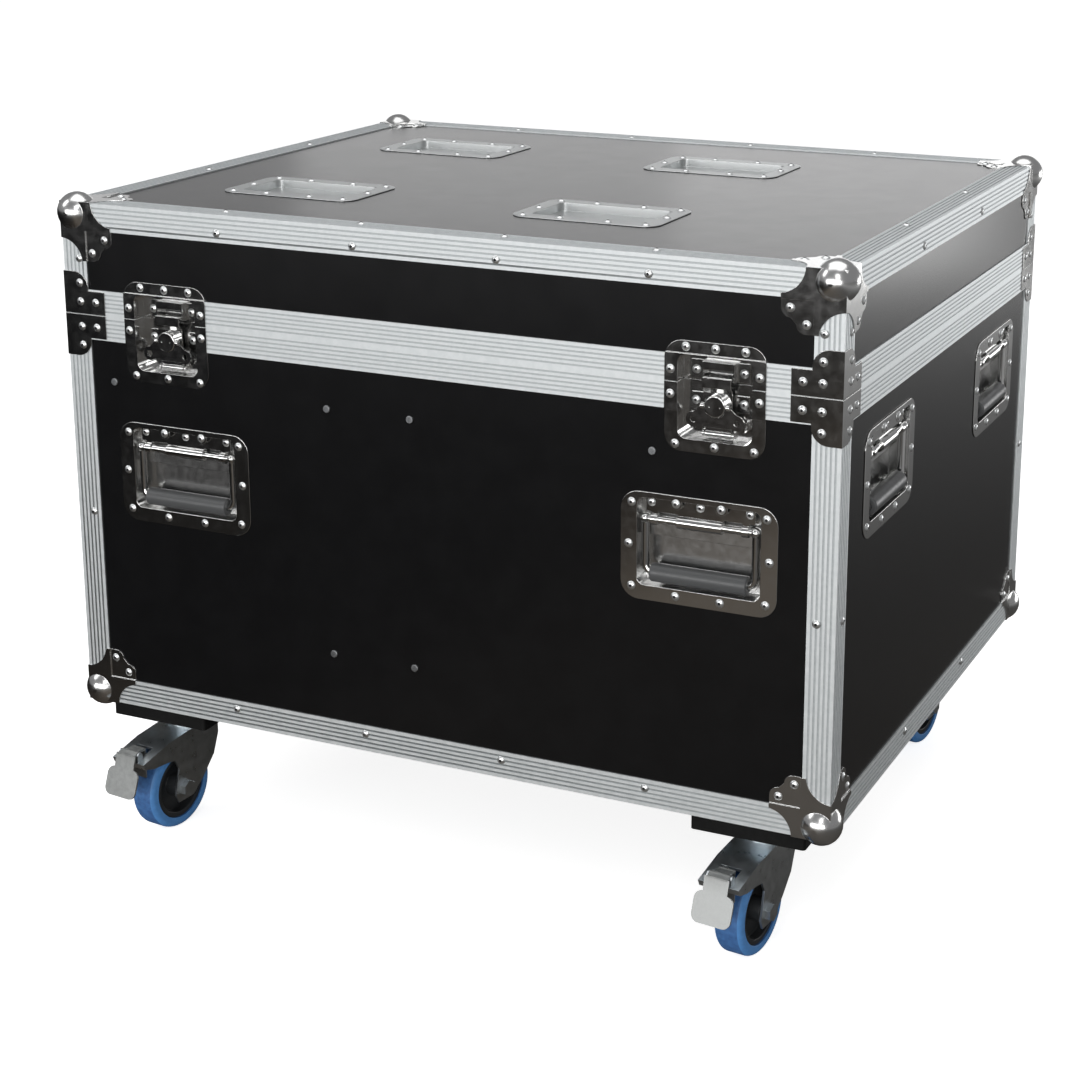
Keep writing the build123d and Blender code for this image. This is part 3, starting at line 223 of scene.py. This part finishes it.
def dish_plate():
    """The dishes in the lid: plated steel, left with the satin of the sheet."""
    material, shader = finish_of("steel_satin_plated", "#d2d4d4", 1, 0.38)
    mottle(material, shader, 8, 0.36, 0.41)
    grain(material, shader, 14, 0.004)
    return material


def zinc():
    """Pressed steel with zinc: pale grey with the faint patches of the plating bath."""
    material, shader = finish_of("steel_zinc_plated", "#d7dde1", 1, 0.3)
    spots = mottle(material, shader, 9, 0.27, 0.33)
    tint(material, shader, spots, "#cfd6da", "#dde3e7")
    grain(material, shader, 9, 0.006)
    return material


def dull_zinc():
    """The pedal: zinc with a duller, rubbed face."""
    material, shader = finish_of("steel_zinc_dull", "#aaacab", 1, 0.5)
    spots = mottle(material, shader, 5, 0.46, 0.56)
    tint(material, shader, spots, "#a3a5a4", "#b1b3b2")
    return material


def spring_wire():
    """Dull drawn steel of springs and screws."""
    material, shader = finish_of("steel_dull_drawn", "#8d8f91", 1, 0.4)
    mottle(material, shader, 2, 0.34, 0.48)
    return material


def tyre_rubber():
    """Blue elastic rubber, matte."""
    material, shader = finish_of("rubber_elastic_blue", "#447bb4", 0, 0.5)
    spots = mottle(material, shader, 6, 0.48, 0.58)
    tint(material, shader, spots, "#4177af", "#477fb9")
    grain(material, shader, 1.5, 0.02)
    return material


def tread_rubber():
    """The tyre's running face: the same rubber, darker than its sides."""
    material, shader = finish_of("rubber_elastic_tread", "#2f5a88", 0, 0.6)
    spots = mottle(material, shader, 5, 0.54, 0.7)
    tint(material, shader, spots, "#2a5285", "#37659b")
    grain(material, shader, 1.2, 0.03)
    return material


def hub_plastic():
    """Moulded black nylon of the wheel hub."""
    material, shader = finish_of("nylon_moulded_black", "#26282a", 0, 0.4)
    mottle(material, shader, 4, 0.36, 0.5)
    grain(material, shader, 1.2, 0.02)
    return material


def grip_plastic():
    """Moulded soft vinyl of the handle's grip."""
    material, shader = finish_of("vinyl_moulded_black", "#454647", 0, 0.4)
    mottle(material, shader, 4, 0.34, 0.46)
    grain(material, shader, 1.2, 0.02)
    return material


FINISHES = {
    "panel_black": laminate(), "board_black": painted_ply(), "edge_aluminium": anodised(),
    "bright_steel": bright_plate(), "zinc_steel": zinc(), "pedal_steel": dull_zinc(),
    "spring_steel": spring_wire(), "tyre_blue": tyre_rubber(), "hub_black": hub_plastic(),
    "grip_rubber": grip_plastic(), "dish_satin": dish_plate(), "tread_blue": tread_rubber(),
    "groove_aluminium_shaded": groove(), "ball_satin": ball_steel(), "rivet_pale": rivet_steel(),
    "painted_shade_dark": painted_shade_steel(),
}
RECORD = frame["record"]
BODIES = RECORD["behaviour"]["bodies"]
SLOT_OF = {part["node"]: part["material_slot"] for part in RECORD["subparts"]}
BODY_OF = {node: body for body, nodes in BODIES.items() for node in nodes}


def coat(piece, finish):
    """Give a piece one finish all over."""
    piece.data.materials.clear()
    piece.data.materials.append(FINISHES[finish])


for node, piece in frame["nodes"].items():
    coat(piece, "dish_satin" if node == "wheel_dishes" else SLOT_OF[node])


# Working on copies of the nodes

WELD = 0.005  # mm between corners that become one
COPLANAR = 1  # degrees between triangles that become one face


def choose(piece):
    """Make a piece the only one selected and the active one."""
    bpy.ops.object.select_all(action="DESELECT")
    piece.select_set(True)
    bpy.context.view_layer.objects.active = piece


def copied(node):
    """A copy of a node with its triangles joined into whole faces."""
    source = frame["nodes"][node]
    piece = bpy.data.objects.new(node + "_finished", source.data.copy())
    scene.collection.objects.link(piece)
    choose(piece)
    bpy.ops.object.mode_set(mode="EDIT")
    bpy.ops.mesh.select_all(action="SELECT")
    bpy.ops.mesh.remove_doubles(threshold=WELD * MM)
    bpy.ops.mesh.dissolve_limited(angle_limit=math.radians(COPLANAR))
    bpy.ops.object.mode_set(mode="OBJECT")
    return piece


def round_edges(piece, radius, segments=2, angle=35, smooth=40):
    """Round every edge sharper than the angle, then shade the curves smooth and the flats flat.

    The radius is in millimetres, the two angles in degrees.
    """
    choose(piece)
    bevel = piece.modifiers.new("edge", "BEVEL")
    bevel.width = radius * MM
    bevel.segments = segments
    bevel.limit_method = "ANGLE"
    bevel.angle_limit = math.radians(angle)
    bpy.ops.object.modifier_apply(modifier="edge")
    bpy.ops.object.shade_smooth_by_angle(angle=math.radians(smooth))
    flats = piece.modifiers.new("flats", "WEIGHTED_NORMAL")
    flats.mode = "FACE_AREA"
    flats.weight = 100
    flats.keep_sharp = True
    bpy.ops.object.modifier_apply(modifier="flats")


def stand_for(piece, node, finish=None):
    """The piece moves with the node's body and is shown in its place."""
    if finish:
        coat(piece, finish)
    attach(piece, BODY_OF[node])
    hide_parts(node)


def apart(piece):
    """The separate solids of a piece, the largest first."""
    choose(piece)
    bpy.ops.object.mode_set(mode="EDIT")
    bpy.ops.mesh.select_all(action="SELECT")
    bpy.ops.mesh.separate(type="LOOSE")
    bpy.ops.object.mode_set(mode="OBJECT")
    return sorted(bpy.context.selected_objects, key=lambda each: -max(each.dimensions))


# Opposite corners of the case over its edge angles
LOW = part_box("base_edge_angles")[0]
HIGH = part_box("lid_edge_angles")[1]


def depth_in_walls(face):
    """How far, in millimetres, a face lies behind the nearest upright side of the case."""
    x, y, _ = face.center
    return min(x - LOW.x, HIGH.x - x, y - LOW.y, HIGH.y - y) / MM


def depth_in_skin(face):
    """How far, in millimetres, a face lies from the nearest of the case's six sides."""
    z = face.center.z
    return min(abs(depth_in_walls(face)), abs(z - LOW.z) / MM, abs(HIGH.z - z) / MM)


def refinish(piece, finish, wanted):
    """Give the faces picked by a test a second finish."""
    piece.data.materials.append(FINISHES[finish])
    for face in piece.data.polygons:
        if wanted(face):
            face.material_index = 1


# Where the second finishes begin

GROOVE_DEPTHS = (0.15, 0.55)  # mm from the skin to the floors of the grooves
PAN_DEPTH = 9  # mm behind the walls to the pans of the handle dishes
DIMPLE_FLOOR = (2, 8)  # mm2, the area of the floor of a rivet's dimple
DIMPLE_RADIUS = 1.75  # mm
FACES_DOWN = -0.3  # upright part of the normal, on the undersides of the lid's dishes
SQUARE_ON = 0.99  # largest part of the normal, above which a corner's face is a flange
TREAD_LEAN = 0.45  # part of the normal along the axle, up to which a tyre's face is tread


def in_dimples(piece):
    """A test for the faces of the rivets' dimples: their flat floors and what is near them."""
    smallest, largest = DIMPLE_FLOOR
    floors = [face.center.copy() for face in piece.data.polygons
              if smallest < face.area / MM**2 < largest]
    tree = KDTree(len(floors))
    for index, floor in enumerate(floors):
        tree.insert(floor, index)
    tree.balance()
    return lambda face: tree.find(face.center)[2] < DIMPLE_RADIUS * MM


def in_groove(face):
    """Whether a face is the floor of a groove in the aluminium."""
    return GROOVE_DEPTHS[0] < depth_in_skin(face) < GROOVE_DEPTHS[1]


# Extruded aluminium: edges left sharp, and the floors of the grooves rougher than the ribs and
# darkened with painted shade

for node in ("base_edge_angles", "lid_edge_angles", "base_closure_frame", "lid_closure_frame"):
    piece = copied(node)
    bpy.ops.object.shade_smooth_by_angle(angle=math.radians(20))
    stand_for(piece, node)
    # the floors of the grooves get a darker colour: painted shade
    refinish(piece, "groove_aluminium_shaded", in_groove)


# Pressed corners, dishes and plates, rivets and boards: the radius in millimetres of the soft
# edge that the making leaves

EDGES = {
    "base_ball_corners": 0.45, "lid_ball_corners": 0.45,
    "base_corner_braces": 0.4, "lid_corner_braces": 0.4,
    "handle_dishes": 0.5, "latch_dishes": 0.5, "lid_latch_dishes": 0.5, "wheel_dishes": 0.5,
    "handle_hinge_plates": 0.4, "latch_base_plates": 0.35, "latch_keepers": 0.4,
    "base_rivets": 0.25, "lid_rivets": 0.25, "castor_boards": 0.8,
}
ALL_OVER = {"wheel_dishes": "dish_satin", "base_rivets": "rivet_pale", "lid_rivets": "rivet_pale"}
for node, radius in EDGES.items():
    piece = copied(node)
    round_edges(piece, radius)
    stand_for(piece, node, ALL_OVER.get(node))
    if node.endswith("_rivets"):
        # the rivets' dimples get a dark colour: painted shade
        refinish(piece, "painted_shade_dark", in_dimples(piece))
    if node == "handle_dishes":
        refinish(piece, "ball_satin", lambda face: depth_in_walls(face) > PAN_DEPTH)
    if node == "wheel_dishes":
        # the undersides of the lid's dishes get a dark colour: painted shade over their reflections
        refinish(piece, "painted_shade_dark", lambda face: face.normal.z < FACES_DOWN)
    if node.endswith("_ball_corners"):
        refinish(piece, "ball_satin",
                 lambda face: max(abs(part) for part in face.normal) < SQUARE_ON)


# Latches, forks and pedals

for side in ("left", "right"):
    for name, radius in (("hook", 0.2), ("carrier", 0.25), ("spindle", 0.15), ("wing", 0.2)):
        node = f"latch_{side}_{name}"
        piece = copied(node)
        round_edges(piece, radius)
        stand_for(piece, node)

for body in BODIES:
    if body.endswith(("_fork", "_pedal")):
        piece = copied(body)
        round_edges(piece, 0.5)
        stand_for(piece, body)


# Handles: a bent bright rod and the grip moulded over it

for body in BODIES:
    if body.endswith("_bail"):
        rod, grip = apart(copied(body))
        rod.name = body + "_rod"
        grip.name = body + "_grip"
        round_edges(rod, 0.3, smooth=50)
        round_edges(grip, 0.6, segments=3, angle=50, smooth=50)
        stand_for(rod, body)
        stand_for(grip, body, "grip_rubber")


# Wheels: a moulded hub and the elastic tyre bonded round it

CASTOR_TURN = math.radians(-7)
AXLE = Vector((math.cos(CASTOR_TURN), math.sin(CASTOR_TURN), 0))
for body in BODIES:
    if body.endswith("_wheel"):
        tyre, hub = apart(copied(body))
        tyre.name = body + "_tyre"
        hub.name = body + "_hub"
        round_edges(tyre, 0.8, segments=3, angle=50, smooth=60)
        round_edges(hub, 0.8, segments=3, smooth=50)
        stand_for(tyre, body, "tyre_blue")
        stand_for(hub, body, "hub_black")
        refinish(tyre, "tread_blue", lambda face: abs(face.normal.dot(AXLE)) < TREAD_LEAN)


# Studio

PAPER = "#f2f2f2"
GLOW = 0.78  # light that the paper gives off to the camera alone, so that it shows white
LIGHTENING = (1, 0.25, 0)  # the way, seen from above, in which the floor's painted light grows
FLOOR_PAINTED_LIGHT = ((0.02, "#131314"), (0.27, "#262422"), (0.34, "#3d3833"), (0.39, "#69625a"),
        (0.7, "#605f5e"), (0.8, "#828282"), (0.975, "#bababa"))
PAINTED_LIGHT_START, PAINTED_LIGHT_END = -2.2, 2.3  # metres along that way


def studio_floor():
    """Pale paper to the camera; reflections see the floor with painted light and shade, dark at the
    left and lightening to the right.
    """
    bpy.ops.mesh.primitive_plane_add(size=40)
    paper = bpy.context.object
    paper.name = "studio_floor"
    material, shader = finish_of("paper_matte", PAPER, 0, 0.9, Specular_IOR_Level=0)
    rays = put(material, "ShaderNodeLightPath")
    glow = put(material, "ShaderNodeMath", {"operation": "MULTIPLY", 1: GLOW},
               {0: rays.outputs["Is Camera Ray"]})
    shader.inputs["Emission Color"].default_value = (1, 1, 1, 1)
    material.node_tree.links.new(glow.outputs[0], shader.inputs["Emission Strength"])
    where = put(material, "ShaderNodeTexCoord")
    across = put(material, "ShaderNodeVectorMath", {"operation": "DOT_PRODUCT", 1: LIGHTENING},
                 {0: where.outputs["Object"]})
    along = put(material, "ShaderNodeMapRange", {"From Min": PAINTED_LIGHT_START, "From Max": PAINTED_LIGHT_END},
                {"Value": across.outputs["Value"]})
    # painted light and shade on the floor, seen only in reflections: dark at the left, lighter to
    # the right
    painted_light = put(material, "ShaderNodeValToRGB", {}, {"Fac": along.outputs["Result"]})
    painted_light.color_ramp.elements.remove(painted_light.color_ramp.elements[1])
    for place, colour in FLOOR_PAINTED_LIGHT:
        painted_light.color_ramp.elements.new(place).color = shade(colour)
    painted_light.color_ramp.elements.remove(painted_light.color_ramp.elements[0])
    ground = put(material, "ShaderNodeMix", {"data_type": "RGBA", 6: shade(PAPER)},
                 {0: rays.outputs["Is Glossy Ray"], 7: painted_light.outputs["Color"]})
    material.node_tree.links.new(ground.outputs[2], shader.inputs["Base Color"])
    paper.data.materials.append(material)


studio_floor()


def softbox(name, place, target, width, height, power):
    """A rectangular lamp turned to a point, out of the camera's sight: metres and watts."""
    lamp = bpy.data.lights.new(name, "AREA")
    lamp.shape = "RECTANGLE"
    lamp.size = width
    lamp.size_y = height
    lamp.energy = power
    lit = bpy.data.objects.new(name, lamp)
    lit.location = place
    lit.rotation_euler = (Vector(target) - Vector(place)).to_track_quat("-Z", "Y").to_euler()
    lit.visible_camera = False
    scene.collection.objects.link(lit)


softbox("front", (-0.1, -6.0, 1.05), (0, -0.3, 0.35), 8.5, 1.7, 245)
softbox("front_high", (1.3, -3.4, 2.7), (0.3, 0, 0.5), 1.1, 1.5, 20)
softbox("left_high", (-2.6, -1.6, 2.6), (0, 0, 0.6), 1.0, 1.6, 14)
softbox("right_back", (2.3, 2.7, 0.34), (0.4, 0, 0.25), 2.2, 0.7, 20)
softbox("back_right", (-0.2, 3.7, 1.2), (-0.2, 0, 0.8), 2.4, 1.3, 10.5)
softbox("back_middle", (-2.05, 3.7, 1.2), (-2.05, 0, 0.8), 1.3, 1.3, 4)
softbox("back_left", (-3.4, 3.7, 1.2), (-3.4, 0, 0.8), 1.4, 1.3, 1.9)
softbox("overhead", (0, -0.2, 3.2), (0, -0.1, 0.6), 3, 2.4, 36)

WHITE = (1, 1, 1, 1)
ROOM_LIGHT = (0.3, 0.3, 0.3, 1)
ROOM_REFLECTED = (0.27, 0.27, 0.275, 1)


def studio_air():
    """White behind the case to the camera, and a grey room for its light and its reflections."""
    world = bpy.data.worlds.new("studio")
    scene.world = world
    world.use_nodes = True
    air = world.node_tree.nodes["Background"]
    rays = put(world, "ShaderNodeLightPath")
    room = put(world, "ShaderNodeMix", {"data_type": "RGBA", 6: ROOM_LIGHT, 7: ROOM_REFLECTED},
               {0: rays.outputs["Is Glossy Ray"]})
    view = put(world, "ShaderNodeMix", {"data_type": "RGBA", 7: WHITE},
               {0: rays.outputs["Is Camera Ray"], 6: room.outputs[2]})
    world.node_tree.links.new(view.outputs[2], air.inputs["Color"])


studio_air()
